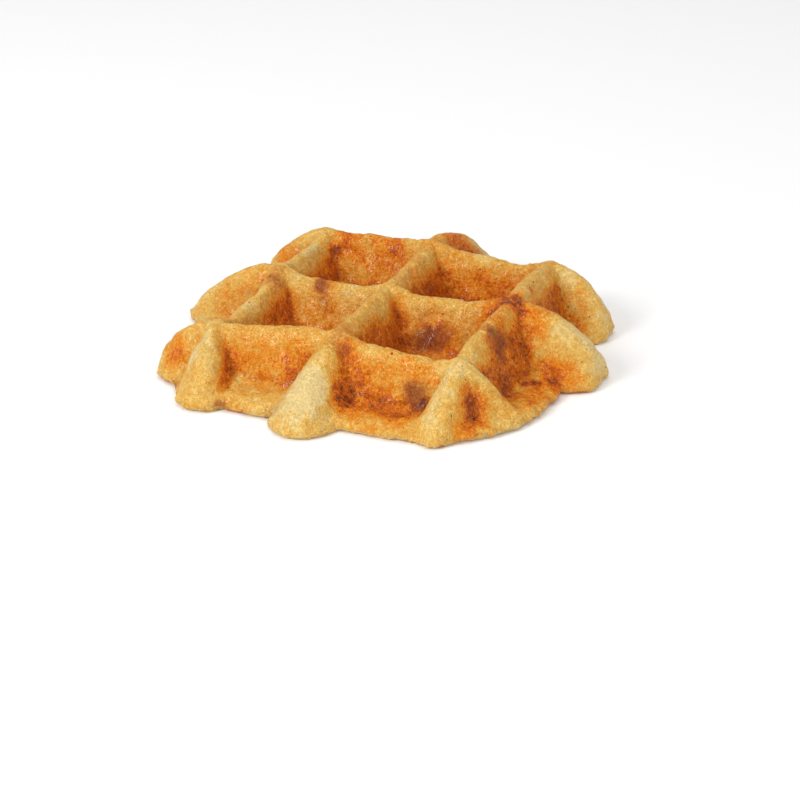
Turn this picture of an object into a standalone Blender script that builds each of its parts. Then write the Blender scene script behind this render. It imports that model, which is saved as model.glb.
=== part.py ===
"""A round deep-pocket waffle with one flat side, lying flat side down.

Three ridges run along X and three along Y over a thin web, and cross every
PITCH. The upper side is one height field: the smooth highest of the six
ridges and the web. Its outline is where that field falls to the rim height,
and a rounded edge leads from there down to the flat underside.
"""

import math

import bpy
import numpy as np

# Driving dimensions, in metres
PITCH = 0.0285              # from ridge to ridge
WALL_SLOPE = 2.7            # fall of a ridge's side for each metre across
CREST_ROUND = 0.0021        # half width of a ridge's rounded crest
CREST_POWER = 2.6           # how square the crest is: 2 is round, more is flatter
SAG_START = 0.0006          # distance from a crossing at which its crests start to dip
SAG_FULL = 0.0070           # and at which they are fully down
CROSSING_BLEND = 0.0010     # rounding where two ridges meet
FLOOR_BLEND = 0.0024        # rounding where a ridge meets the web
WEB_HEIGHT = 0.0038         # top of the web at the bottom of a pocket
WEB_RADIUS = 0.0466         # mean radius of the web's edge
WEB_EDGE = 0.0060           # width over which the web thins to its edge
RIM_HEIGHT = 0.0016         # height of the widest line round the waffle
BASE_INSET = 0.0014         # how far the underside stops inside that line
END_DROP = 3.0              # fall past a ridge's end for each metre
EDGE_DROP = 2.0             # and past the web's edge

# Swells of the web's edge: amplitude, number of waves round, angle of a peak
WEB_SWELLS = (
    (0.0031, 4, math.radians(45)),
    (0.0019, 1, math.radians(222)),
    (0.0014, 2, math.radians(-10)),
    (0.0006, 3, math.radians(100)),
)

# Each ridge: crest heights at its three crossings, the dips of its two spans
# between them, its sideways drift at the near end, the three crossings and the
# far end, how far from the middle its near and far ends reach, how round each
# end is (1 is a straight hip), the share of the slope that each side loses
# there (near end then far end, lower side then upper side of the other axis),
# and how much broader the crest gets towards each end
RIDGES_ALONG_X = (
    dict(row=-1, heights=(0.0142, 0.0167, 0.0150), dips=(0.0, 0.0016),
         drift=(-0.0012, -0.0003, -0.0002, -0.0001, 0.0030),
         reach=(0.0430, 0.0414), roundness=(1.9, 1.22),
         flare=((0.30, 0.35), (-0.55, 0.30)), broad=(0.0006, -0.0004)),
    dict(row=0, heights=(0.0167, 0.0167, 0.0175), dips=(0.0020, 0.0020),
         drift=(0.0006, 0.0006, -0.0002, 0.0005, 0.0010),
         reach=(0.0506, 0.0512), roundness=(1.5, 2.0),
         flare=((0.30, 0.45), (0.18, 0.40)), broad=(0.0010, 0.0024)),
    dict(row=1, heights=(0.0151, 0.0164, 0.0153), dips=(0.0002, 0.0016),
         drift=(-0.0008, 0.0001, -0.0004, 0.0, -0.0026),
         reach=(0.0445, 0.0447), roundness=(1.6, 2.0),
         flare=((0.25, 0.40), (0.10, 0.40)), broad=(0.0004, 0.0016)),
)
RIDGES_ALONG_Y = (
    dict(row=-1, heights=(0.0142, 0.0167, 0.0151), dips=(0.0020, 0.0012),
         drift=(0.0022, -0.0002, 0.0012, 0.0003, 0.0010),
         reach=(0.0468, 0.0425), roundness=(1.6, 1.6),
         flare=((0.30, 0.00), (0.45, 0.45)), broad=(0.0022, 0.0004)),
    dict(row=0, heights=(0.0167, 0.0167, 0.0164), dips=(0.0004, 0.0007),
         drift=(-0.0012, -0.0005, -0.0001, -0.0009, 0.0020),
         reach=(0.0512, 0.0505), roundness=(1.3, 2.2),
         flare=((0.56, 0.20), (0.45, 0.45)), broad=(0.0038, 0.0026)),
    dict(row=1, heights=(0.0150, 0.0175, 0.0153), dips=(-0.0006, -0.0010),
         drift=(-0.0010, -0.0001, 0.0009, 0.0001, -0.0015),
         reach=(0.0438, 0.0430), roundness=(1.25, 1.7),
         flare=((0.55, -0.50), (0.45, 0.45)), broad=(0.0012, 0.0006)),
)

# Fineness of the mesh
GRID_CELLS = 62             # cells along each side of the upper grid
EDGE_RINGS = 3              # steps of the rounded edge
SQUARE_SHARE = 0.80         # the even middle grid's scale against the outline
MORPH_START = 0.62          # where the even grid starts to bend to the outline
OUTLINE_STEPS = 1440        # directions in which the outline is looked for
SEARCH_INNER = 0.036        # from this radius
SEARCH_OUTER = 0.060        # out to this one
SEARCH_STEPS = 240

CRUST_COLOUR = (0.70, 0.345, 0.085, 1.0)
CRUST_ROUGHNESS = 0.5
SHARP_ANGLE = math.radians(50)


def glide(place, stations, values):
    """Runs smoothly from value to value, level at each station."""
    result = np.full_like(place, values[0])
    for start, end, first, last in zip(stations[:-1], stations[1:], values[:-1], values[1:]):
        share = np.clip((place - start) / (end - start), 0.0, 1.0)
        result = result + (last - first) * share * share * (3.0 - 2.0 * share)
    return result


def ease(value, start, end):
    """0 up to the start, 1 from the end on, and a smooth step between them."""
    share = np.clip((value - start) / (end - start), 0.0, 1.0)
    return share * share * (3.0 - 2.0 * share)


def smooth_highest(first, second, blend):
    """The higher of two heights, with their crease rounded over the blend."""
    nearness = np.maximum(blend - np.abs(first - second), 0.0) / blend
    return np.maximum(first, second) + nearness * nearness * blend / 4.0


def end_fall(share, roundness):
    """Share of its height that a crest keeps along its end: a superellipse from 1 down to 0."""
    return (1.0 - share ** roundness) ** (1.0 / roundness)


def ridge_height(along, across, ridge):
    """A crest line that drifts, dips and falls at its ends, less the fall of its sides.

    The sides fall by the slope times the power mean of the distance and the
    crest's half width, less that half width, which rounds the crest.
    """
    near, far = ridge["reach"]
    crossings = (-PITCH, 0.0, PITCH)
    crest = glide(along, crossings, ridge["heights"])
    from_crossing = np.abs(along - PITCH * np.round(along / PITCH))
    dip = np.where(along < 0.0, ridge["dips"][0], ridge["dips"][1]) * (np.abs(along) < PITCH)
    crest = crest - dip * ease(from_crossing, SAG_START, SAG_FULL)
    near_share = np.clip((-along - PITCH) / (near - PITCH), 0.0, 1.0)
    far_share = np.clip((along - PITCH) / (far - PITCH), 0.0, 1.0)
    crest = crest * end_fall(near_share, ridge["roundness"][0]) * end_fall(far_share, ridge["roundness"][1])
    crest = crest - END_DROP * (np.maximum(-along - near, 0.0) + np.maximum(along - far, 0.0))
    middle = ridge["row"] * PITCH + glide(along, (-near,) + crossings + (far,), ridge["drift"])
    lower_side = across < middle
    near_flare, far_flare = ridge["flare"]
    flare = near_share * np.where(lower_side, *near_flare) + far_share * np.where(lower_side, *far_flare)
    distance = np.abs(across - middle)
    half_width = CREST_ROUND + near_share * ridge["broad"][0] + far_share * ridge["broad"][1]
    spread = (distance ** CREST_POWER + half_width ** CREST_POWER) ** (1.0 / CREST_POWER)
    return crest - WALL_SLOPE * (1.0 - flare) * (spread - half_width)


def web_edge_radius(angle):
    """The web's edge: a circle with a few long swells."""
    radius = WEB_RADIUS
    for amplitude, waves, peak in WEB_SWELLS:
        radius = radius + amplitude * np.cos(waves * (angle - peak))
    return radius


def web_height(x, y):
    """Level inside, then down a quarter ellipse to the rim height at the web's edge."""
    radius = np.hypot(x, y)
    edge = web_edge_radius(np.arctan2(y, x))
    share = np.clip((radius - (edge - WEB_EDGE)) / WEB_EDGE, 0.0, 1.0)
    height = RIM_HEIGHT + (WEB_HEIGHT - RIM_HEIGHT) * np.sqrt(1.0 - share * share)
    return height - EDGE_DROP * np.maximum(radius - edge, 0.0)


def upper_height(x, y):
    """The smooth highest of the six ridges and the web."""
    height = None
    for ridge in RIDGES_ALONG_X:
        own = ridge_height(x, y, ridge)
        height = own if height is None else smooth_highest(height, own, CROSSING_BLEND)
    for ridge in RIDGES_ALONG_Y:
        height = smooth_highest(height, ridge_height(y, x, ridge), CROSSING_BLEND)
    return smooth_highest(height, web_height(x, y), FLOOR_BLEND)


def outline_table():
    """Evenly spaced angles, and the first radius at which the upper side is down to the rim height."""
    angle = np.linspace(-math.pi, math.pi, OUTLINE_STEPS, endpoint=False)
    radii = np.linspace(SEARCH_INNER, SEARCH_OUTER, SEARCH_STEPS)
    x = radii[:, None] * np.cos(angle)[None, :]
    y = radii[:, None] * np.sin(angle)[None, :]
    above = upper_height(x, y) - RIM_HEIGHT
    first_below = np.argmax(above < 0.0, axis=0)
    column = np.arange(OUTLINE_STEPS)
    inner = above[first_below - 1, column]
    outer = above[first_below, column]
    return angle, radii[first_below - 1] + inner / (inner - outer) * (radii[1] - radii[0])


def upper_grid():
    """Plan places of the upper grid: an even square grid that bends out to the outline.

    The outer line of the square grid is laid on the outline, side by side and
    in order of angle, and the blend between both follows the distance from
    the middle.
    """
    steps = np.linspace(-1.0, 1.0, GRID_CELLS + 1)
    u, v = np.meshgrid(steps, steps, indexing="ij")
    size = np.maximum(np.abs(u), np.abs(v))
    upright = np.abs(v) > np.abs(u)
    turn = np.where(upright, u, v) / np.maximum(size, 1e-9) * math.pi / 4.0
    angle = np.where(
        upright,
        np.where(v > 0.0, math.pi / 2.0 - turn, -math.pi / 2.0 + turn),
        np.where(u > 0.0, turn, math.pi - turn),
    )
    outline = np.interp(angle.ravel(), *outline_table(), period=2.0 * math.pi).reshape(angle.shape)
    share = ease(size, MORPH_START, 1.0)
    reach = SQUARE_SHARE * WEB_RADIUS
    x = (1.0 - share) * reach * u + share * outline * size * np.cos(angle)
    y = (1.0 - share) * reach * v + share * outline * size * np.sin(angle)
    return x, y


def border_order():
    """Grid numbers of the outer line, counter-clockwise from its first corner."""
    side = GRID_CELLS + 1
    number = np.arange(side * side).reshape(side, side)
    return np.concatenate((number[:-1, 0], number[-1, :-1], number[:0:-1, -1], number[0, :0:-1]))


def waffle_mesh():
    """The closed mesh: upper grid, rounded edge and flat underside."""
    x, y = upper_grid()
    height = upper_height(x, y)
    points = np.stack((x, y, height), axis=-1).reshape(-1, 3)
    border = border_order()
    points[border, 2] = RIM_HEIGHT

    side = GRID_CELLS + 1
    number = np.arange(side * side).reshape(side, side)
    quads = np.stack((number[:-1, :-1], number[1:, :-1], number[1:, 1:], number[:-1, 1:]), axis=-1)
    faces = [tuple(quad) for quad in quads.reshape(-1, 4).tolist()]

    upper_ring = border
    start = len(points)
    for ring in range(1, EDGE_RINGS + 1):
        turn = ring / EDGE_RINGS * math.pi / 2.0
        place = points[border].copy()
        length = np.hypot(place[:, 0], place[:, 1])
        inset = BASE_INSET * (1.0 - math.cos(turn))
        place[:, 0] *= 1.0 - inset / length
        place[:, 1] *= 1.0 - inset / length
        place[:, 2] = RIM_HEIGHT * (1.0 - math.sin(turn)) if ring < EDGE_RINGS else 0.0
        points = np.concatenate((points, place))
        lower_ring = start + np.arange(len(border))
        start += len(border)
        next_upper = np.roll(upper_ring, -1)
        next_lower = np.roll(lower_ring, -1)
        band = np.stack((upper_ring, lower_ring, next_lower, next_upper), axis=-1)
        faces.extend(tuple(quad) for quad in band.tolist())
        upper_ring = lower_ring
    faces.append(tuple(upper_ring[::-1].tolist()))

    low = points.min(axis=0)
    high = points.max(axis=0)
    points[:, :2] -= (low[:2] + high[:2]) / 2.0
    return points, faces


def crust_material():
    material = bpy.data.materials.new("golden_crust")
    material.use_nodes = True
    shader = material.node_tree.nodes["Principled BSDF"]
    shader.inputs["Base Color"].default_value = CRUST_COLOUR
    shader.inputs["Roughness"].default_value = CRUST_ROUGHNESS
    shader.inputs["Metallic"].default_value = 0.0
    return material


def build_waffle():
    points, faces = waffle_mesh()
    mesh = bpy.data.meshes.new("waffle")
    mesh.from_pydata(points.tolist(), [], faces)
    mesh.validate()
    mesh.shade_smooth()
    mesh.set_sharp_from_angle(angle=SHARP_ANGLE)
    mesh.materials.append(crust_material())
    waffle = bpy.data.objects.new("waffle", mesh)
    bpy.context.scene.collection.objects.link(waffle)
    return waffle


for old in list(bpy.data.objects):
    bpy.data.objects.remove(old)
build_waffle()
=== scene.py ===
"""The looks of a round deep-pocket waffle that lies on its flat side.

The crust is one closed surface, worked out with numpy from the same sizes as
its solid: a height field of six crossing ridges over a thin web, a rough edge
and a flat underside. Lumps, wrinkles and pores are relief in that mesh, and
the browning with its painted shade on the sides that face right, the fruit
stains and the scorch marks are values on its points, which the crust's
material turns into colour.
"""

import math

import bpy
import numpy as np
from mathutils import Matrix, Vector


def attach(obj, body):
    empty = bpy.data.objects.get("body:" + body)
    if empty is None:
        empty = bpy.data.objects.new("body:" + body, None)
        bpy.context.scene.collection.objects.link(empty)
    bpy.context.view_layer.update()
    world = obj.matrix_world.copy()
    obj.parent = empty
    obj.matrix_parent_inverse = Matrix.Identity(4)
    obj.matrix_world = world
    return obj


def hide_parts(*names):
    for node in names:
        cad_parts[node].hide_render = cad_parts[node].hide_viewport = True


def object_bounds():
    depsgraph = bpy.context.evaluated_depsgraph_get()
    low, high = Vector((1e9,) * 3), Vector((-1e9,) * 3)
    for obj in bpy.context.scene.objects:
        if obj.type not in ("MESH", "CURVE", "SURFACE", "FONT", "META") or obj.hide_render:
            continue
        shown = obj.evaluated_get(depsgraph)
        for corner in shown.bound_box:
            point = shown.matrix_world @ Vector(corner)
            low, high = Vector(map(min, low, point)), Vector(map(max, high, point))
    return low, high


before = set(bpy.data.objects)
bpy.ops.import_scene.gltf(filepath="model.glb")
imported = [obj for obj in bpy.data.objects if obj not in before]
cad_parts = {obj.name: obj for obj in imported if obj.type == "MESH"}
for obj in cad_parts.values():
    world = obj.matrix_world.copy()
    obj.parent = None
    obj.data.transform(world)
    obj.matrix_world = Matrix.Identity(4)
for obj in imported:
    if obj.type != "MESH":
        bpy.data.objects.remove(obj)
cad_low, cad_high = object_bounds()

# Sizes of the waffle, in metres
PITCH = 0.0285              # from ridge to ridge
WALL_SLOPE = 2.7            # fall of a ridge's side for each metre across
CREST_ROUND = 0.0021        # half width of a ridge's rounded crest
CREST_POWER = 2.6           # how square the crest is: 2 is round, more is flatter
SAG_START = 0.0006          # distance from a crossing at which its crests start to dip
SAG_FULL = 0.0070           # and at which they are fully down
CROSSING_BLEND = 0.0010     # rounding where two ridges meet
FLOOR_BLEND = 0.0024        # rounding where a ridge meets the web
WEB_HEIGHT = 0.0038         # top of the web at the bottom of a pocket
WEB_RADIUS = 0.0466         # mean radius of the web's edge
WEB_EDGE = 0.0060           # width over which the web thins to its edge
RIM_HEIGHT = 0.0016         # height of the widest line round the waffle
BASE_INSET = 0.0014         # how far the underside stops inside that line

# Swells of the web's edge: amplitude, number of waves round, angle of a peak
WEB_SWELLS = (
    (0.0031, 4, math.radians(45)),
    (0.0019, 1, math.radians(222)),
    (0.0014, 2, math.radians(-10)),
    (0.0006, 3, math.radians(100)),
)

# Each ridge: crest heights at its three crossings, the dips of its two spans
# between them, its sideways drift at the near end, the three crossings and the
# far end, how far from the middle its near and far ends reach, how round each
# end is (1 is a straight hip), the share of the slope that each side loses
# there (near end then far end, lower side then upper side of the other axis),
# and how much broader the crest gets towards each end
RIDGES_ALONG_X = (
    dict(row=-1, heights=(0.0142, 0.0167, 0.0150), dips=(0.0, 0.0016),
         drift=(-0.0012, -0.0003, -0.0002, -0.0001, 0.0030),
         reach=(0.0430, 0.0414), roundness=(1.9, 1.22),
         flare=((0.30, 0.35), (-0.55, 0.30)), broad=(0.0006, -0.0004)),
    dict(row=0, heights=(0.0167, 0.0167, 0.0175), dips=(0.0020, 0.0020),
         drift=(0.0006, 0.0006, -0.0002, 0.0005, 0.0010),
         reach=(0.0506, 0.0512), roundness=(1.5, 2.0),
         flare=((0.30, 0.45), (0.18, 0.40)), broad=(0.0010, 0.0024)),
    dict(row=1, heights=(0.0151, 0.0164, 0.0153), dips=(0.0002, 0.0016),
         drift=(-0.0008, 0.0001, -0.0004, 0.0, -0.0026),
         reach=(0.0445, 0.0447), roundness=(1.6, 2.0),
         flare=((0.25, 0.40), (0.10, 0.40)), broad=(0.0004, 0.0016)),
)
RIDGES_ALONG_Y = (
    dict(row=-1, heights=(0.0142, 0.0167, 0.0151), dips=(0.0020, 0.0012),
         drift=(0.0022, -0.0002, 0.0012, 0.0003, 0.0010),
         reach=(0.0468, 0.0425), roundness=(1.6, 1.6),
         flare=((0.30, 0.00), (0.45, 0.45)), broad=(0.0022, 0.0004)),
    dict(row=0, heights=(0.0167, 0.0167, 0.0164), dips=(0.0004, 0.0007),
         drift=(-0.0012, -0.0005, -0.0001, -0.0009, 0.0020),
         reach=(0.0512, 0.0505), roundness=(1.3, 2.2),
         flare=((0.56, 0.20), (0.45, 0.45)), broad=(0.0038, 0.0026)),
    dict(row=1, heights=(0.0150, 0.0175, 0.0153), dips=(-0.0006, -0.0010),
         drift=(-0.0010, -0.0001, 0.0009, 0.0001, -0.0015),
         reach=(0.0438, 0.0430), roundness=(1.25, 1.7),
         flare=((0.55, -0.50), (0.45, 0.45)), broad=(0.0012, 0.0006)),
)

# Fineness of the mesh
GRID_CELLS = 268            # cells along each side of the upper grid
EDGE_RINGS = 6              # steps of the rounded edge
BASE_RINGS = 12             # steps across the underside
SQUARE_SHARE = 0.80         # the even middle grid's scale against the outline
MORPH_START = 0.62          # where the even grid starts to bend to the outline
RELAX_PASSES = 80           # rounds of evening out the bent grid
OUTLINE_STEPS = 2160        # directions in which the outline is looked for
SEARCH_INNER = 0.036        # from this radius
SEARCH_OUTER = 0.060        # out to this one
SEARCH_STEPS = 240

END_DROP = 3.0              # fall past a ridge's end for each metre
EDGE_DROP = 2.0             # and past the web's edge

# Noise
CELL_PRIMES = (73856093, 19349663, 83492791)
MIXING_PRIMES = ((13, 1274126177), (15, 668265263))
SEED_STEP = 17.31           # how far apart two seeds' patterns lie, in cells
LAYER_FADE = 0.55           # strength of each finer layer against the one before

# Relief of the crust: depth, size and noise seed of each kind of unevenness
LUMPS = (0.00034, 0.0070, 1)
PUCKERS = (0.00024, 0.0024, 7)
WRINKLES = (0.00016, 0.0010, 13)
PITS = (0.00026, 0.0021, 17)
RIM_CRUMBS = (0.00026, 0.0011, 31)
CRUMB_EDGE = (0.00050, 0.0019, 40)
WRINKLE_RUN = (1.0, 1.0, 0.5)   # the wrinkles are twice as long downwards
PIT_PEAKS = (0.55, 0.85)    # noise values at which a pit starts and is full
FACING_DOWN = -0.7          # upward share of its direction below which a surface is underside
UNDERSIDE_RELIEF = 0.35     # share of the relief that the underside keeps
UNDERSIDE_HEIGHT = 0.5      # and of its height above the floor after that

# Marks on the crust, in millimetres from the foot of the middle crossing:
# x, y, z, radius, how much browner, and how much fruit stain
PALER_MARKS = (
    (-33.6, -3.2, 10.6, 4.5, -0.12, 0.0),
    (-31.5, -36.0, 8.5, 6.0, -0.2, 0.0),
    (-31.0, -10.0, 14.0, 5.0, -0.16, 0.0),
    (-30.0, 20.0, 13.5, 5.0, -0.14, 0.0),
    (-27.6, -17.7, 12.9, 4.0, -0.12, 0.0),
    (-18.0, 24.6, 9.6, 5.0, -0.12, 0.0),
    (-2.5, -37.5, 11.5, 5.0, -0.16, 0.0),
    (-1.2, -44.3, 8.4, 8.8, -0.25, 0.0),
    (3.3, -10.0, 11.6, 3.5, -0.12, 0.0),
    (5.2, -5.8, 7.1, 4.0, -0.08, 0.0),
    (8.1, -2.3, 12.8, 3.6, -0.14, 0.0),
    # a paler streak along the back ridge's crest: partly a line of sugar, partly painted highlight
    (13.0, 29.5, 15.2, 3.5, -0.22, 0.0),
    (16.0, 0.4, 15.2, 4.0, -0.12, 0.0),
    (24.6, -34.0, 9.7, 7.0, -0.1, 0.0),
    (27.5, -40.0, 6.5, 5.0, -0.1, 0.0),
    (32.5, 24.6, 10.7, 4.5, -0.14, 0.0),
    (35.3, -3.7, 11.5, 4.0, -0.1, 0.0),
    (35.8, 22.5, 7.1, 4.5, -0.12, 0.0),
    (36.4, -6.3, 5.5, 4.5, -0.1, 0.0),
    (41.0, 27.0, 8.0, 6.0, -0.12, 0.0),
    (41.5, -4.0, 9.5, 5.5, -0.14, 0.0),
    (49.0, 1.0, 6.0, 5.0, -0.08, 0.0),
)
BROWNER_MARKS = (
    (-38.5, 26.0, 9.0, 4.0, 0.2, 0.0),
    (-37.5, -2.8, 9.5, 4.5, 0.18, 0.0),
    (-36.7, -34.0, 5.5, 4.0, 0.14, 0.0),
    (-36.1, -33.0, 7.1, 3.0, 0.26, 0.0),
    (-36.0, 14.0, 4.0, 5.0, 0.2, 0.3),
    (-25.2, -8.8, 11.7, 3.0, 0.1, 0.0),
    (-24.9, 25.5, 11.3, 2.6, 0.4, 0.1),
    (-21.8, 27.3, 14.5, 5.0, 0.38, 0.0),
    (-16.5, -43.3, 2.2, 4.0, 0.1, 0.0),
    (-14.2, -0.6, 15.0, 5.0, 0.22, 0.1),
    (-12.0, 27.4, 14.8, 4.0, 0.22, 0.1),
    (-9.4, 26.4, 14.0, 3.0, 0.2, 0.1),
    (0.1, -48.6, 2.6, 4.0, 0.05, 0.0),
    (2.1, 36.5, 14.0, 5.5, 0.4, 0.0),
    (4.4, -37.0, 6.6, 3.6, 0.1, 0.0),
    (5.2, -36.0, 4.2, 3.6, 0.14, 0.0),
    (7.1, -39.1, 3.6, 3.6, 0.14, 0.0),
    (11.4, -42.4, 2.4, 5.0, 0.14, 0.0),
    (16.0, -38.5, 3.6, 6.5, 0.16, 0.0),
    (17.1, -34.0, 4.5, 6.0, 0.1, 0.0),
    (17.9, -30.6, 12.3, 4.0, 0.2, 0.0),
    (18.0, 36.0, 5.0, 5.5, 0.28, 0.0),
    (19.7, -40.5, 3.2, 4.5, 0.16, 0.0),
    (21.5, -30.6, 12.0, 3.6, 0.22, 0.0),
    (26.0, -1.8, 15.0, 3.4, 0.24, 0.0),
    (26.6, -37.5, 8.7, 3.0, 0.1, 0.0),
    (27.0, 9.0, 16.0, 3.5, 0.08, 0.0),
    (28.5, 12.0, 14.5, 4.5, 0.14, 0.0),
    (29.5, 0.0, 17.4, 4.4, 0.52, 0.12),
    (30.2, -10.7, 16.8, 3.2, 0.24, 0.1),
    (30.7, -32.9, 10.0, 1.8, 0.26, 0.0),
    (31.0, 8.7, 16.6, 1.7, 0.44, 0.15),
    (31.5, -36.0, 5.0, 5.0, 0.12, 0.0),
    (31.6, -32.9, 7.9, 2.6, 0.22, 0.0),
    (33.0, -34.0, 3.9, 3.5, 0.2, 0.0),
    (33.0, 19.7, 10.2, 5.0, 0.14, 0.0),
    (33.5, -37.5, 2.5, 4.0, 0.22, 0.0),
    (33.5, -30.5, 6.5, 5.0, 0.2, 0.0),
    (33.7, -5.7, 9.0, 5.0, 0.12, 0.0),
    (33.9, -19.0, 8.0, 1.3, 0.6, 0.3),
    (34.8, -17.7, 5.3, 3.5, 0.14, 0.0),
    (36.5, -22.0, 3.8, 5.0, 0.22, 0.0),
    (37.0, -1.0, 15.4, 4.0, 0.22, 0.0),
    (40.0, -6.0, 6.5, 2.4, 0.22, 0.0),
    (41.6, -7.7, 3.4, 4.0, 0.2, 0.0),
    (42.0, -11.0, 3.0, 6.0, 0.14, 0.0),
    (42.1, -14.5, 3.3, 5.5, 0.18, 0.0),
    (43.5, -9.7, 2.7, 4.0, 0.16, 0.0),
    (45.0, -5.4, 4.3, 5.5, 0.34, 0.0),
    (46.0, 12.0, 5.0, 4.0, 0.26, 0.0),
)
FRUIT_MARKS = (
    (-35.4, -38.8, 1.5, 3.2, 0.1, 0.6),
    (-26.9, -4.6, 15.2, 3.4, 0.16, 0.55),
    (-20.8, -43.9, 1.7, 2.6, 0.1, 0.7),
    (-16.0, -1.4, 14.2, 3.6, 0.16, 0.85),
    (-15.2, -2.6, 11.0, 2.8, 0.05, 0.6),
    (-8.7, -44.7, 0.8, 3.2, 0.05, 0.6),
    (-8.0, 38.0, 6.0, 4.0, 0.1, 0.7),
    (1.4, -29.8, 16.2, 3.6, 0.05, 0.46),
    (3.2, -31.4, 13.6, 2.6, 0.26, 0.46),
    (10.2, -3.4, 10.0, 3.4, 0.06, 0.45),
    (11.2, -4.8, 6.8, 4.8, 0.12, 1.0),
    (19.8, -33.0, 7.2, 3.8, 0.1, 0.85),
    (30.4, -14.7, 15.8, 3.8, 0.26, 0.9),
    (30.6, -17.4, 15.0, 3.0, 0.26, 0.5),
    (31.8, -13.3, 13.6, 3.6, 0.18, 0.8),
    (32.2, -15.4, 11.0, 3.4, 0.16, 0.7),
)
MARK_REACH = (0.10, 1.35)   # shares of its radius from which a mark fades, and at which it is gone
MARK_RAGS = (0.50, 0.0042, 61)  # how ragged a mark's edge is, the rags' size and noise seed

# Browning, and painted shade on the sides that face right: where each of its shares starts and is full, in
# metres
WITHIN_EDGE = (0.0010, 0.0080)      # in from the outline
TOWARDS_MIDDLE = (-0.047, -0.030)   # minus the distance from the middle
DOWN_WALL = (0.0002, 0.0050)        # below the crest
CORNER_WIDTH = (0.0010, 0.0085)     # difference in height of the two ridges
CORNER_RISE = (0.0003, 0.0020)      # above the web
CORNER_DEPTH = (0.0010, 0.0060)     # below the crest
CREASE_START = (0.0001, 0.0008)     # above the web
CREASE_END = (0.0010, 0.0036)
CREASE_GAP = (0.0020, 0.0075)       # in from the outline
WEB_RISE = (0.0002, 0.0014)         # above the web
RIGHT_SHADE_DEPTH = (0.0015, 0.0070)      # below the crest, on a side that faces right, for its painted shade
RIGHT_FOOT_SHADE_DEPTH = (0.0010, 0.0075)
BACK_LINE_START = (0.0001, 0.0006)  # below the crest, on a side that faces back
BACK_LINE_END = (0.0012, 0.0028)
PATCHES = (0.13, 0.012, 23)         # weight, size and noise seed
BLOTCHES = (0.11, 0.0042, 29)
BROWNING_KNEE = 0.62                # above this it grows slower
KNEE_SOFTNESS = 0.16
UNDERSIDE_TURN = (0.3, 0.9)         # downward share of the direction that a surface faces
BRUSH_GAP = 0.05                    # keeps the brushed places of the two sets of ridges apart

# The camera, about the foot of the middle crossing
VIEW_AZIMUTH = math.radians(23.0)
VIEW_ELEVATION = math.radians(24.5)
VIEW_DISTANCE = 0.520
FRAME_PIXELS = 800
PIXELS_PER_METRE = 4362.0   # at the middle crossing
CROSSING_PIXEL = (389.0, 350.0)
SENSOR_WIDTH = 36.0
CLIP = (0.01, 20.0)

# Floor and lights: name, place, width and power of each light
FLOOR_REACH = 3.0
FLOOR_GAP = 0.0001          # how far the floor lies below the waffle
FLOOR_COLOUR = (0.955, 0.955, 0.955, 1.0)
STUDIO_STRENGTH = 0.50
LIGHT_TARGET = (0.0, 0.0, 0.005)
LIGHTS = (
    ("key_light", (-0.38, -0.62, 0.52), 0.36, 3.9),
    ("top_light", (-0.05, 0.10, 0.90), 0.80, 2.9),
    ("front_fill", (0.56, -0.60, 0.30), 0.60, 2.1),
)


def glide(place, stations, values):
    """Runs smoothly from value to value, level at each station."""
    result = np.full_like(place, values[0])
    for start, end, first, last in zip(stations[:-1], stations[1:], values[:-1], values[1:]):
        share = np.clip((place - start) / (end - start), 0.0, 1.0)
        result = result + (last - first) * share * share * (3.0 - 2.0 * share)
    return result


def ease(value, start, end):
    """0 up to the start, 1 from the end on, and a smooth step between them."""
    share = np.clip((value - start) / (end - start), 0.0, 1.0)
    return share * share * (3.0 - 2.0 * share)


def smooth_highest(first, second, blend):
    """The higher of two heights, with their crease rounded over the blend."""
    nearness = np.maximum(blend - np.abs(first - second), 0.0) / blend
    return np.maximum(first, second) + nearness * nearness * blend / 4.0


def soft_noise(places, size, seed):
    """Random values from -1 to 1 at the corners of cells of the size, smooth between them.

    Each corner's value is its three cell numbers times three large primes,
    mixed bit by bit.
    """
    scaled = np.asarray(places) / size + seed * SEED_STEP
    corner = np.floor(scaled).astype(np.int64)
    part = scaled - corner
    part = part * part * (3.0 - 2.0 * part)
    result = np.zeros(scaled.shape[:-1])
    for step in np.ndindex(2, 2, 2):
        at = corner + np.array(step)
        first, second, third = (at[..., axis] * prime for axis, prime in enumerate(CELL_PRIMES))
        mixed = first ^ second ^ third
        for bits, prime in MIXING_PRIMES:
            mixed = ((mixed ^ (mixed >> bits)) * prime) & 0x7FFFFFFF
        value = ((mixed >> 7) & 0xFFFF) / 32767.5 - 1.0
        weight = np.prod(np.where(np.array(step), part, 1.0 - part), axis=-1)
        result = result + weight * value
    return result


def rough_noise(places, size, seed, layers=3):
    """Soft noise with finer, weaker layers on top, each of half the size of the one before."""
    total = np.zeros(np.asarray(places).shape[:-1])
    strength = 1.0
    for layer in range(layers):
        total = total + strength * soft_noise(places, size / 2.0 ** layer, seed + layer)
        strength *= LAYER_FADE
    return total


def end_fall(share, roundness):
    """Share of its height that a crest keeps along its end: a superellipse from 1 down to 0."""
    return (1.0 - share ** roundness) ** (1.0 / roundness)


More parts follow.
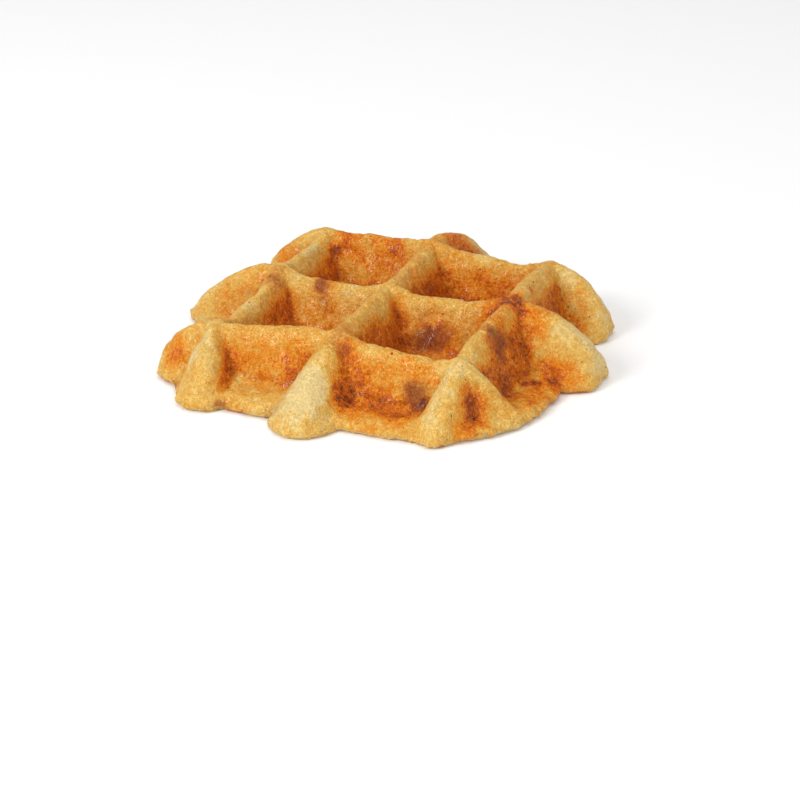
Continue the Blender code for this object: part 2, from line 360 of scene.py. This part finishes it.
def ridge_heights(along, across, ridge):
    """Height of a ridge, and of its crest line.

    The crest drifts, dips and falls at its ends. The sides fall by the slope
    times the power mean of the distance and the crest's half width, less that
    half width, which rounds the crest.
    """
    near, far = ridge["reach"]
    crossings = (-PITCH, 0.0, PITCH)
    crest = glide(along, crossings, ridge["heights"])
    from_crossing = np.abs(along - PITCH * np.round(along / PITCH))
    dip = np.where(along < 0.0, ridge["dips"][0], ridge["dips"][1]) * (np.abs(along) < PITCH)
    crest = crest - dip * ease(from_crossing, SAG_START, SAG_FULL)
    near_share = np.clip((-along - PITCH) / (near - PITCH), 0.0, 1.0)
    far_share = np.clip((along - PITCH) / (far - PITCH), 0.0, 1.0)
    crest = crest * end_fall(near_share, ridge["roundness"][0]) * end_fall(far_share, ridge["roundness"][1])
    crest = crest - END_DROP * (np.maximum(-along - near, 0.0) + np.maximum(along - far, 0.0))
    middle = ridge["row"] * PITCH + glide(along, (-near,) + crossings + (far,), ridge["drift"])
    lower_side = across < middle
    near_flare, far_flare = ridge["flare"]
    flare = near_share * np.where(lower_side, *near_flare) + far_share * np.where(lower_side, *far_flare)
    distance = np.abs(across - middle)
    half_width = CREST_ROUND + near_share * ridge["broad"][0] + far_share * ridge["broad"][1]
    spread = (distance ** CREST_POWER + half_width ** CREST_POWER) ** (1.0 / CREST_POWER)
    return crest - WALL_SLOPE * (1.0 - flare) * (spread - half_width), crest


def web_edge_radius(angle):
    """The web's edge: a circle with a few long swells."""
    radius = WEB_RADIUS
    for amplitude, waves, peak in WEB_SWELLS:
        radius = radius + amplitude * np.cos(waves * (angle - peak))
    return radius


def web_height(x, y):
    """Level inside, then down a quarter ellipse to the rim height at the web's edge."""
    radius = np.hypot(x, y)
    edge = web_edge_radius(np.arctan2(y, x))
    share = np.clip((radius - (edge - WEB_EDGE)) / WEB_EDGE, 0.0, 1.0)
    height = RIM_HEIGHT + (WEB_HEIGHT - RIM_HEIGHT) * np.sqrt(1.0 - share * share)
    return height - EDGE_DROP * np.maximum(radius - edge, 0.0)


def ridge_set(along, across, ridges):
    """The highest of one set of parallel ridges, and its crest level."""
    height = np.full_like(along, -1.0)
    level = np.full_like(along, -1.0)
    for ridge in ridges:
        own, crest = ridge_heights(along, across, ridge)
        level = np.where(own > height, crest, level)
        height = np.maximum(height, own)
    return height, level


def upper_height(x, y):
    """The smooth highest of the six ridges and the web."""
    height = np.full_like(x, -1.0)
    rows = [(x, y, ridge) for ridge in RIDGES_ALONG_X] + [(y, x, ridge) for ridge in RIDGES_ALONG_Y]
    for along, across, ridge in rows:
        height = smooth_highest(height, ridge_heights(along, across, ridge)[0], CROSSING_BLEND)
    return smooth_highest(height, web_height(x, y), FLOOR_BLEND)


def outline_table():
    """Evenly spaced angles, and the radius at which the upper side is down to the rim height."""
    angle = np.linspace(-math.pi, math.pi, OUTLINE_STEPS, endpoint=False)
    radii = np.linspace(SEARCH_INNER, SEARCH_OUTER, SEARCH_STEPS)
    x = radii[:, None] * np.cos(angle)[None, :]
    y = radii[:, None] * np.sin(angle)[None, :]
    above = upper_height(x, y) - RIM_HEIGHT
    first_below = np.argmax(above < 0.0, axis=0)
    column = np.arange(OUTLINE_STEPS)
    inner = above[first_below - 1, column]
    outer = above[first_below, column]
    return angle, radii[first_below - 1] + inner / (inner - outer) * (radii[1] - radii[0])


def crumbled(angle, radius):
    """The outline with a crumbly edge.

    Small noise moves it in and out, less where the outline runs outwards:
    divided by 1 + the square of its slant.
    """
    depth, size, seed = CRUMB_EDGE
    slant = np.gradient(radius, angle) / radius
    places = np.stack((radius * np.cos(angle), radius * np.sin(angle), np.zeros_like(angle)), axis=-1)
    return radius + depth * rough_noise(places, size, seed) / (1.0 + slant * slant)


def upper_grid(outline):
    """Plan places of the upper grid: an even square grid that bends out to the outline.

    The square's outer line is laid on the outline in order of angle, and the
    blend between both follows the distance from the middle. Then each inner
    place moves to the mean of its four neighbours, a number of times.
    """
    steps = np.linspace(-1.0, 1.0, GRID_CELLS + 1)
    u, v = np.meshgrid(steps, steps, indexing="ij")
    size = np.maximum(np.abs(u), np.abs(v))
    upright = np.abs(v) > np.abs(u)
    turn = np.where(upright, u, v) / np.maximum(size, 1e-9) * math.pi / 4.0
    angle = np.where(
        upright,
        np.where(v > 0.0, math.pi / 2.0 - turn, -math.pi / 2.0 + turn),
        np.where(u > 0.0, turn, math.pi - turn),
    )
    radius = np.interp(angle.ravel(), *outline, period=2.0 * math.pi).reshape(angle.shape)
    share = ease(size, MORPH_START, 1.0)
    reach = SQUARE_SHARE * WEB_RADIUS
    x = (1.0 - share) * reach * u + share * radius * size * np.cos(angle)
    y = (1.0 - share) * reach * v + share * radius * size * np.sin(angle)
    for _ in range(RELAX_PASSES):
        for place in (x, y):
            rows = place[:-2, 1:-1] + place[2:, 1:-1]
            columns = place[1:-1, :-2] + place[1:-1, 2:]
            place[1:-1, 1:-1] = (rows + columns) / 4.0
    return x, y


def band_faces(upper_ring, lower_ring):
    """Four-sided faces between two rings of as many points, facing out."""
    return np.stack((upper_ring, lower_ring, np.roll(lower_ring, -1), np.roll(upper_ring, -1)), axis=-1)


def crust_skin():
    """Points and faces of the closed surface, before any relief.

    Below the upper grid come the rings of a quarter ellipse down to the
    underside, rings that close in over it, and a fan round its middle.
    """
    angle, radius = outline_table()
    x, y = upper_grid((angle, crumbled(angle, radius)))
    height = np.maximum(upper_height(x, y), RIM_HEIGHT)
    side = GRID_CELLS + 1
    number = np.arange(side * side).reshape(side, side)
    border = np.concatenate((number[:-1, 0], number[-1, :-1], number[:0:-1, -1], number[0, :0:-1]))
    upper = np.stack((x, y, height), axis=-1).reshape(-1, 3)
    upper[border, 2] = RIM_HEIGHT
    corners = (number[:-1, :-1], number[1:, :-1], number[1:, 1:], number[:-1, 1:])
    quads = [np.stack(corners, axis=-1).reshape(-1, 4)]

    rim = upper[border]
    rim_length = np.hypot(rim[:, 0], rim[:, 1])
    turns = np.linspace(0.0, math.pi / 2.0, EDGE_RINGS + 1)[1:]
    insets = [BASE_INSET * (1.0 - math.cos(turn)) for turn in turns]
    heights = [RIM_HEIGHT * (1.0 - math.sin(turn)) for turn in turns]
    rings = [rim * np.stack((1.0 - inset / rim_length,) * 2 + (np.zeros_like(rim_length),), axis=-1)
             + np.array((0.0, 0.0, level_height)) for inset, level_height in zip(insets, heights)]
    rings += [rings[-1] * share for share in np.linspace(1.0, 0.0, BASE_RINGS + 1)[1:-1]]
    points = np.concatenate([upper] + rings + [np.zeros((1, 3))])
    last = border
    for index in range(len(rings)):
        ring = len(upper) + index * len(border) + np.arange(len(border))
        quads.append(band_faces(last, ring))
        last = ring
    centre = np.full_like(last, len(points) - 1)
    fan = np.stack((last, centre, np.roll(last, -1)), axis=-1)
    return points, np.concatenate(quads), fan, len(upper)


def surface_normals(points, quads, fan):
    """The direction in which the surface faces at each point: the mean of its faces' cross products."""
    normals = np.zeros_like(points)
    first, second, third, fourth = (points[corner] for corner in quads.T)
    diagonals = np.cross(third - first, fourth - second)
    slants = np.cross(points[fan[:, 1]] - points[fan[:, 0]], points[fan[:, 2]] - points[fan[:, 0]])
    for corners, directions in ((quads, diagonals), (fan, slants)):
        for corner in corners.T:
            for axis in range(3):
                normals[:, axis] += np.bincount(corner, directions[:, axis], len(points))
    return normals / np.maximum(np.linalg.norm(normals, axis=1, keepdims=True), 1e-12)


def crust_relief(points, normals):
    """How far each point stands off the smooth form.

    Lumps, puckers and wrinkles all over, a few pits, and crumbs where the
    surface is near the rim's height; little of it on the underside.
    """
    relief = LUMPS[0] * rough_noise(points, *LUMPS[1:], layers=2)
    relief = relief + PUCKERS[0] * rough_noise(points, *PUCKERS[1:], layers=2)
    wrinkles = np.abs(soft_noise(points * np.array(WRINKLE_RUN), *WRINKLES[1:]))
    relief = relief - WRINKLES[0] * wrinkles
    relief = relief - PITS[0] * ease(soft_noise(points, *PITS[1:]), *PIT_PEAKS)
    near_rim = 1.0 - ease(points[:, 2], RIM_HEIGHT, WEB_HEIGHT)
    relief = relief + RIM_CRUMBS[0] * near_rim * rough_noise(points, *RIM_CRUMBS[1:], layers=2)
    return relief * np.where(normals[:, 2] < FACING_DOWN, UNDERSIDE_RELIEF, 1.0)


def mark_shares(points):
    """How much browner the marks make each point, and how stained.

    Each mark fades with the distance from it, taken over its radius.
    """
    browner = np.zeros(len(points))
    stain = np.zeros(len(points))
    ragged = 1.0 + MARK_RAGS[0] * rough_noise(points, *MARK_RAGS[1:])
    for x, y, z, radius, heat, fruit in PALER_MARKS + BROWNER_MARKS + FRUIT_MARKS:
        distance = np.linalg.norm(points - np.array((x, y, z)) / 1000.0, axis=1) * ragged
        share = 1.0 - ease(distance / (radius / 1000.0), *MARK_REACH)
        browner += heat * share
        stain = np.maximum(stain, fruit * share)
    return browner, stain


def crust_values(points, normals):
    """The values that the material reads at each point.

    Browning grows down a ridge's sides, in the corners of the pockets and in
    the crease at a wall's foot, and is least on the lobes of the edge. Painted
    shade adds more on the sides that face right, most towards their foot. The
    brushed place is how far along its ridge a point lies and how deep below
    its crest, so that a pattern can run down the walls, and on the web how
    far from the edge and how far round it.

    The shares are added with a weight each. Above the knee the sum grows
    slower and slower, and half of each mark is added after that.
    """
    x, y = points[:, 0], points[:, 1]
    height_x, level_x = ridge_set(x, y, RIDGES_ALONG_X)
    height_y, level_y = ridge_set(y, x, RIDGES_ALONG_Y)
    on_x = height_x > height_y
    highest = np.maximum(height_x, height_y)
    web = web_height(x, y)
    radius = np.hypot(x, y)
    turn = np.arctan2(y, x)
    edge_gap = np.interp(turn, *outline_table(), period=2.0 * math.pi) - radius
    depth = np.where(on_x, level_x, level_y) - points[:, 2]
    rise = np.maximum(highest, web) - web

    within = ease(edge_gap, *WITHIN_EDGE)
    middle = ease(-radius, *TOWARDS_MIDDLE)
    wall = ease(depth, *DOWN_WALL) * within
    corner = 1.0 - ease(np.abs(height_x - height_y), *CORNER_WIDTH)
    corner = corner * ease(rise, *CORNER_RISE) * ease(depth, *CORNER_DEPTH) * within
    crease = ease(rise, *CREASE_START) * (1.0 - ease(rise, *CREASE_END)) * ease(edge_gap, *CREASE_GAP)
    on_web = (1.0 - ease(rise, *WEB_RISE)) * (points[:, 2] > RIM_HEIGHT)
    # Painted shade: the sides that face right are browned more, most towards their foot, standing in for
    # the shade they lie in.
    right_side_shade = np.clip(normals[:, 0], 0.0, 1.0) * ease(depth, *RIGHT_SHADE_DEPTH) * within
    right_foot_shade = right_side_shade * ease(depth, *RIGHT_FOOT_SHADE_DEPTH)
    back_line = ease(depth, *BACK_LINE_START) * (1.0 - ease(depth, *BACK_LINE_END))
    back_line = back_line * np.clip(normals[:, 1], 0.0, 1.0) * within
    patches = rough_noise(points, *PATCHES[1:], layers=2) * (0.45 + 0.55 * within)
    blotches = rough_noise(points, *BLOTCHES[1:], layers=2) * wall

    browning = (0.27 + 0.06 * middle + 0.17 * wall + 0.17 * corner + 0.11 * crease
                + 0.10 * on_web * middle + 0.30 * back_line + 0.16 * right_side_shade + 0.45 * right_foot_shade
                + PATCHES[0] * patches + BLOTCHES[0] * blotches)
    browner, stain = mark_shares(points)
    browning = browning + browner / 2.0
    over = np.maximum(browning - BROWNING_KNEE, 0.0)
    browning = np.minimum(browning, BROWNING_KNEE) + KNEE_SOFTNESS * np.tanh(over / KNEE_SOFTNESS)
    browning = browning + browner / 2.0
    lie = on_web > 0.5
    brushed = np.stack((
        np.where(lie, edge_gap, np.where(on_x, x, y)),
        np.where(lie, turn * WEB_RADIUS, depth),
        np.where(on_x, 0.0, BRUSH_GAP)), axis=-1)
    return {
        "browning": np.clip(browning, 0.0, 1.0),
        "stain": np.clip(stain, 0.0, 1.0),
        "steepness": wall,
        "underside": ease(-normals[:, 2], *UNDERSIDE_TURN),
    }, brushed


class Strand:
    """One output of a shader node, with arithmetic that adds Math nodes."""

    def __init__(self, recipe, socket):
        self.recipe = recipe
        self.socket = socket

    def _with(self, operation, first, second):
        return self.recipe.node("ShaderNodeMath", dict(operation=operation), {0: first, 1: second})

    def __add__(self, other):
        return self._with("ADD", self, other)

    def __radd__(self, other):
        return self._with("ADD", other, self)

    def __sub__(self, other):
        return self._with("SUBTRACT", self, other)

    def __rsub__(self, other):
        return self._with("SUBTRACT", other, self)

    def __mul__(self, other):
        return self._with("MULTIPLY", self, other)

    def __rmul__(self, other):
        return self._with("MULTIPLY", other, self)


class Recipe:
    """A material's node tree, and short ways to add to it."""

    def __init__(self, name):
        self.material = bpy.data.materials.new(name)
        self.material.use_nodes = True
        self.tree = self.material.node_tree
        self.shader = self.tree.nodes["Principled BSDF"]

    def put(self, socket, value):
        """Links a strand to a socket, or sets the socket's own value."""
        if isinstance(value, Strand):
            self.tree.links.new(value.socket, socket)
        else:
            socket.default_value = value

    def node(self, kind, settings=None, inputs=None, output=0):
        """Adds a node: its settings first, with a ramp's stops, then its sockets."""
        made = self.tree.nodes.new(kind)
        for name, value in (settings or {}).items():
            if name == "stops":
                self.lay_stops(made.color_ramp, value)
            else:
                setattr(made, name, value)
        for name, value in (inputs or {}).items():
            self.put(made.inputs[name], value)
        return Strand(self, made.outputs[output])

    def lay_stops(self, band, stops):
        """Puts the stops of a colour ramp, each a place and a colour, in order."""
        while len(band.elements) < len(stops):
            band.elements.new(0.5)
        for element, (place, colour) in zip(band.elements, stops):
            element.position = place
            element.color = colour

    def finish(self, inputs):
        """Fills the shader's own sockets; gives the material."""
        for name, value in inputs.items():
            self.put(self.shader.inputs[name], value)
        return self.material

    def places(self):
        """Places in the object's own metres."""
        return self.node("ShaderNodeTexCoord", output="Object")

    def value(self, name, output="Fac"):
        """A value that the mesh keeps on its points."""
        return self.node("ShaderNodeAttribute", dict(attribute_name=name), output=output)

    def stretched(self, places, factors):
        """Places with each axis scaled by its own factor."""
        return self.node("ShaderNodeVectorMath", dict(operation="MULTIPLY"), {0: places, 1: factors})

    def noise(self, places, size, detail=3.0, roughness=0.5, warp=0.0):
        """Noise about 0.5, with features of the size in metres."""
        return self.node("ShaderNodeTexNoise", None, {
            "Vector": places, "Scale": 1.0 / size, "Detail": detail,
            "Roughness": roughness, "Distortion": warp})

    def step(self, value, start, end):
        """0 up to the start, 1 from the end on, smooth between them."""
        return self.node("ShaderNodeMapRange", dict(interpolation_type="SMOOTHSTEP"), {
            "Value": value, "From Min": start, "From Max": end, "To Min": 0.0, "To Max": 1.0})

    def mix(self, share, first, second):
        """One colour, going over to another by the share."""
        return self.node("ShaderNodeMix", dict(data_type="RGBA"), {0: share, 6: first, 7: second}, output=2)

    def ramp(self, value, stops):
        """Colours along a value, each stop a place and a colour."""
        return self.node("ShaderNodeValToRGB", dict(stops=stops), {"Fac": value})

    def bump(self, height, depth, below=None):
        """A fine unevenness in the light, over another where one is given."""
        inputs = {"Height": height, "Distance": depth, "Strength": 1.0}
        if below is not None:
            inputs["Normal"] = below
        return self.node("ShaderNodeBump", None, inputs)


def tint(red, green, blue):
    """A colour given as screen values from 0 to 255, in linear light."""
    shares = [channel / 255.0 for channel in (red, green, blue)]
    light = [share / 12.92 if share <= 0.04045 else ((share + 0.055) / 1.055) ** 2.4
             for share in shares]
    return (*light, 1.0)


PALE_CRUST = tint(240, 210, 142)
STRAW_CRUST = tint(238, 189, 92)
GOLDEN_CRUST = tint(233, 166, 66)
ORANGE_CRUST = tint(236, 140, 10)
BROWN_CRUST = tint(216, 102, 0)
SCORCHED_CRUST = tint(122, 45, 4)
# pale cream towards which the painted glints lighten the colour
PAINTED_GLINT_CREAM = tint(254, 226, 160)
DARK_SPECK = tint(132, 32, 8)
FRUIT_STAIN = tint(118, 54, 34)
FRUIT_EDGE = tint(186, 100, 44)
UNDERSIDE_PALE = tint(236, 208, 148)
UNDERSIDE_TOAST = tint(178, 92, 28)

BROWNING_STOPS = (
    (0.00, PALE_CRUST), (0.15, STRAW_CRUST), (0.32, GOLDEN_CRUST),
    (0.48, ORANGE_CRUST), (0.66, BROWN_CRUST), (1.00, SCORCHED_CRUST),
)

# Sizes of the crust's patterns, in metres
STROKE_RUN = (1.0, 0.50, 1.0)   # the strokes are twice as long down the wall
STROKE_SIZE = 0.00055
MOTTLE_SIZE = 0.0040
FRECKLE_SIZE = 0.0012
GRAIN_SIZE = 0.00070
GLINT_SIZE = 0.00060
SPECK_SIZE = 0.00085
PORE_SIZE = 0.0005
TOAST_SIZE = 0.016
FRECKLE_BUMP = 0.00070
PORE_BUMP = 0.00042


def crust_material():
    """Baked crust.

    Its colour follows the browning and its painted shade, broken up by
    mottling, by fine strokes that run down the walls and by grain; over it
    lie small wet glints, painted as highlights that lighten and brighten the
    colour while a thin coat gives them real shine, fruit stains and dark
    specks. The underside is pale with toasted patches. Each pattern is a
    noise about 0.5, so its weight is how far it swings.
    """
    recipe = Recipe("baked_crust")
    places = recipe.places()
    brushed = recipe.value("brushed", output="Vector")
    wall = recipe.value("steepness")
    along = recipe.stretched(brushed, STROKE_RUN)
    strokes = recipe.noise(along, STROKE_SIZE, detail=3.0, roughness=0.7, warp=1.6)
    streaks = wall * (strokes - 0.5)
    mottle = recipe.noise(places, MOTTLE_SIZE, detail=5.0, roughness=0.62, warp=0.6)
    freckle = recipe.noise(places, FRECKLE_SIZE, detail=4.0, roughness=0.7)
    grain = recipe.noise(places, GRAIN_SIZE, detail=1.0, roughness=0.5)
    # Wet glints: a thin coat shines on them, and a painted highlight lightens and brightens the colour
    # there.
    wetness = recipe.noise(places, GLINT_SIZE, detail=1.5, roughness=0.5, warp=1.8)
    glint = recipe.step(wetness + 0.45 * streaks, 0.50, 0.64)

    browning = recipe.value("browning")
    unrest = 1.15 * (mottle - 0.5) + 1.20 * (freckle - 0.5) + 0.50 * (grain - 0.5) + 1.20 * streaks
    # The browning value brings the painted shade of the sides that face right into this heat.
    heat = 1.32 * browning - 0.13 + unrest * (0.38 + 0.66 * browning)
    upper = recipe.ramp(0.8 * heat, BROWNING_STOPS)
    # Painted highlight: the glints lighten the colour towards pale cream.
    upper = recipe.mix(0.10 * glint, upper, PAINTED_GLINT_CREAM)

    stain = (recipe.value("stain") + 0.45 * (mottle - 0.5) + 0.60 * (freckle - 0.5)
             + 0.5 * (strokes - 0.5))
    stained = recipe.mix(recipe.step(stain, 0.30, 1.00), FRUIT_EDGE, FRUIT_STAIN)
    upper = recipe.mix(0.76 * recipe.step(stain, 0.10, 0.75), upper, stained)
    speck = recipe.step(recipe.noise(places, SPECK_SIZE, detail=0.0), 0.83, 0.86)
    upper = recipe.mix(0.85 * speck, upper, DARK_SPECK)

    toast = recipe.noise(places, TOAST_SIZE, detail=6.0, roughness=0.62, warp=0.4)
    toasted = recipe.step(toast + 0.10 * (grain - 0.5), 0.555, 0.635)
    pale = recipe.mix(recipe.step(freckle, 0.35, 0.75), UNDERSIDE_PALE, STRAW_CRUST)
    lower = recipe.mix(toasted, pale, recipe.mix(grain, UNDERSIDE_TOAST, BROWN_CRUST))

    colour = recipe.mix(recipe.value("underside"), upper, lower)
    # Painted highlight: the glints brighten the colour; the grain varies it at random.
    glint_and_grain_tone = 0.865 + 0.23 * glint - 0.36 * (grain - 0.5)
    colour = recipe.node("ShaderNodeVectorMath", dict(operation="SCALE"), {0: colour, "Scale": glint_and_grain_tone})
    pores = recipe.noise(places, PORE_SIZE, detail=4.0, roughness=0.65)
    normal = recipe.bump(freckle, FRECKLE_BUMP)
    normal = recipe.bump(0.4 * streaks + pores, PORE_BUMP, normal)
    return recipe.finish({
        "Base Color": colour,
        "Roughness": 0.24 + 0.34 * freckle + 0.20 * recipe.value("underside"),
        "Normal": normal,
        "Specular IOR Level": 0.16,
        "Coat Weight": 0.35 * glint,
        "Coat Roughness": 0.16,
        "Subsurface Weight": 0.06,
        "Subsurface Radius": (0.0026, 0.0012, 0.0005),
        "Subsurface Scale": 1.0,
    })


def fill_mesh(name, points, faces):
    """A new object of the points and faces, in the scene."""
    mesh = bpy.data.meshes.new(name)
    mesh.from_pydata(points.tolist(), [], faces)
    mesh.update()
    made = bpy.data.objects.new(name, mesh)
    bpy.context.scene.collection.objects.link(made)
    return made


def make_crust():
    """The whole waffle as one surface, put where its solid lies.

    Gives the foot of its middle crossing.
    """
    points, quads, fan, upper_count = crust_skin()
    normals = surface_normals(points, quads, fan)
    values, brushed = crust_values(points, normals)
    points = points + normals * crust_relief(points, normals)[:, None]
    points[:, 2] = np.maximum(points[:, 2], 0.0)
    points[upper_count + EDGE_RINGS * 4 * GRID_CELLS:, 2] *= UNDERSIDE_HEIGHT
    middle = (points[:, :2].min(axis=0) + points[:, :2].max(axis=0)) / 2.0
    shift = (np.array(cad_low[:2]) + np.array(cad_high[:2])) / 2.0 - middle
    points[:, :2] += shift
    crust = fill_mesh("crust", points, quads.tolist() + fan.tolist())
    crust.data.shade_smooth()
    for name, value in values.items():
        layer = crust.data.attributes.new(name, "FLOAT", "POINT")
        layer.data.foreach_set("value", value.astype(np.float32))
    layer = crust.data.attributes.new("brushed", "FLOAT_VECTOR", "POINT")
    layer.data.foreach_set("vector", brushed.astype(np.float32).ravel())
    crust.data.materials.append(crust_material())
    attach(crust, "root")
    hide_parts("waffle")
    return shift


def make_floor():
    """A plain pale floor."""
    corners = np.array([(right * FLOOR_REACH, back * FLOOR_REACH, -FLOOR_GAP)
                        for right, back in ((-1, -1), (1, -1), (1, 1), (-1, 1))])
    floor = fill_mesh("floor", corners, [(0, 1, 2, 3)])
    recipe = Recipe("pale_floor")
    floor.data.materials.append(recipe.finish({"Base Color": FLOOR_COLOUR, "Roughness": 0.8}))


def aim(thing, towards):
    """Turns a light or camera so that it looks at a place."""
    way = Vector(towards) - thing.location
    thing.rotation_euler = way.to_track_quat("-Z", "Y").to_euler()


def make_camera(crossing_foot):
    """The camera at the photo's angle, turned so that the middle crossing lands on its own pixel."""
    turn, lift = VIEW_AZIMUTH, VIEW_ELEVATION
    back = np.array((math.sin(turn) * math.cos(lift), -math.cos(turn) * math.cos(lift), math.sin(lift)))
    right = np.array((math.cos(turn), math.sin(turn), 0.0))
    up = np.cross(back, right)
    foot = np.array((crossing_foot[0], crossing_foot[1], 0.0))
    off_right = (FRAME_PIXELS / 2.0 - CROSSING_PIXEL[0]) / PIXELS_PER_METRE
    off_down = (FRAME_PIXELS / 2.0 - CROSSING_PIXEL[1]) / PIXELS_PER_METRE
    camera_data = bpy.data.cameras.new("camera")
    camera_data.sensor_width = SENSOR_WIDTH
    camera_data.lens = PIXELS_PER_METRE * VIEW_DISTANCE / FRAME_PIXELS * SENSOR_WIDTH
    camera_data.clip_start, camera_data.clip_end = CLIP
    camera = bpy.data.objects.new("camera", camera_data)
    bpy.context.scene.collection.objects.link(camera)
    camera.location = foot + back * VIEW_DISTANCE
    aim(camera, foot + right * off_right - up * off_down)
    bpy.context.scene.camera = camera


def make_light(name, place, size, power):
    """A round soft light that looks at the waffle."""
    lamp = bpy.data.lights.new(name, "AREA")
    lamp.shape = "DISK"
    lamp.size = size
    lamp.energy = power
    light = bpy.data.objects.new(name, lamp)
    bpy.context.scene.collection.objects.link(light)
    light.location = place
    aim(light, LIGHT_TARGET)


def light_scene():
    """An even white studio with three soft round lights."""
    world = bpy.data.worlds.new("studio")
    world.use_nodes = True
    background = world.node_tree.nodes["Background"]
    background.inputs["Color"].default_value = (1.0, 1.0, 1.0, 1.0)
    background.inputs["Strength"].default_value = STUDIO_STRENGTH
    bpy.context.scene.world = world
    for name, place, size, power in LIGHTS:
        make_light(name, place, size, power)
    view = bpy.context.scene.view_settings
    view.view_transform = "Standard"
    view.exposure = 0.0


crossing_foot = make_crust()
make_floor()
make_camera(crossing_foot)
light_scene()
